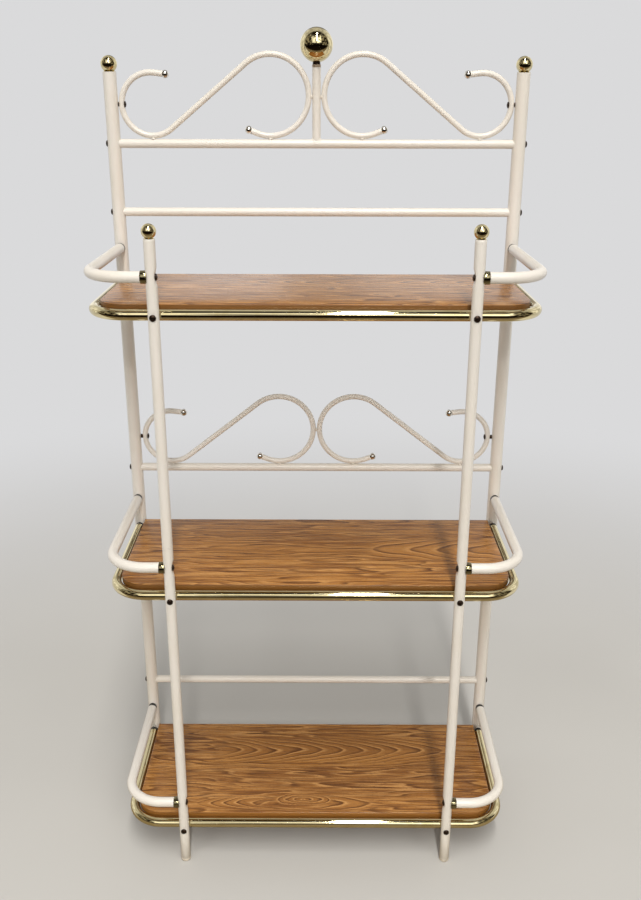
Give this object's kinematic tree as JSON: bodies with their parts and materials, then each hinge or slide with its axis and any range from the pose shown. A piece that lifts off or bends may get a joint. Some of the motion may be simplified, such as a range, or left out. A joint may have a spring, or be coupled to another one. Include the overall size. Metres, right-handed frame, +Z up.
{
  "type": "tiered shelf",
  "caption": "Open etagere of cream tubes with brass U rails, wood-grain boards, gallery arms, ball finials and S scrollwork.",
  "frame": {"origin": "on the floor, under the middle of the part's box", "axes": "+X to the right of someone who stands in front, +Y to the back, +Z up"},
  "size_m": [0.9136, 0.4318, 1.8388],
  "materials": {
    "cream_enamel": "gloss cream enamel on steel tube",
    "polished_brass": "polished, brass plated",
    "nickel": "bright nickel plate",
    "dark_bolt": "oil-bronzed, dark",
    "wood_laminate": "satin wood-grain laminate",
    "cream_plastic": "moulded cream plastic"
  },
  "bodies": {
    "root": {"rear_upright_left": "cream_enamel", "front_upright_left": "cream_enamel", "finial_rear_left": "polished_brass", "finial_front_left": "polished_brass", "foot_cap_rear_left": "cream_plastic", "foot_cap_front_left": "cream_plastic", "rear_upright_right": "cream_enamel", "front_upright_right": "cream_enamel", "finial_rear_right": "polished_brass", "finial_front_right": "polished_brass", "foot_cap_rear_right": "cream_plastic", "foot_cap_front_right": "cream_plastic", "crossbar_bottom": "cream_enamel", "crossbar_middle": "cream_enamel", "crossbar_top": "cream_enamel", "crossbar_crest": "cream_enamel", "shelf_rail_bottom": "polished_brass", "shelf_board_bottom": "wood_laminate", "gallery_arm_bottom_left": "cream_enamel", "arm_ferrule_bottom_left": "polished_brass", "arm_bolt_bottom_left": "dark_bolt", "rail_bolt_bottom_left": "dark_bolt", "gallery_arm_bottom_right": "cream_enamel", "arm_ferrule_bottom_right": "polished_brass", "arm_bolt_bottom_right": "dark_bolt", "rail_bolt_bottom_right": "dark_bolt", "shelf_rail_middle": "polished_brass", "shelf_board_middle": "wood_laminate", "gallery_arm_middle_left": "cream_enamel", "arm_ferrule_middle_left": "polished_brass", "arm_bolt_middle_left": "dark_bolt", "rail_bolt_middle_left": "dark_bolt", "gallery_arm_middle_right": "cream_enamel", "arm_ferrule_middle_right": "polished_brass", "arm_bolt_middle_right": "dark_bolt", "rail_bolt_middle_right": "dark_bolt", "shelf_rail_top": "polished_brass", "shelf_board_top": "wood_laminate", "gallery_arm_top_left": "cream_enamel", "arm_ferrule_top_left": "polished_brass", "arm_bolt_top_left": "dark_bolt", "rail_bolt_top_left": "dark_bolt", "gallery_arm_top_right": "cream_enamel", "arm_ferrule_top_right": "polished_brass", "arm_bolt_top_right": "dark_bolt", "rail_bolt_top_right": "dark_bolt", "scroll_top_left": "cream_enamel", "scroll_ball_top_left_hook": "nickel", "scroll_ball_top_left_curl": "nickel", "scroll_top_right": "cream_enamel", "scroll_ball_top_right_hook": "nickel", "scroll_ball_top_right_curl": "nickel", "scroll_middle_left": "cream_enamel", "scroll_ball_middle_left_hook": "nickel", "scroll_ball_middle_left_curl": "nickel", "scroll_middle_right": "cream_enamel", "scroll_ball_middle_right_hook": "nickel", "scroll_ball_middle_right_curl": "nickel", "crest_post": "cream_enamel", "crest_ball": "polished_brass"}
  },
  "joints": []
}
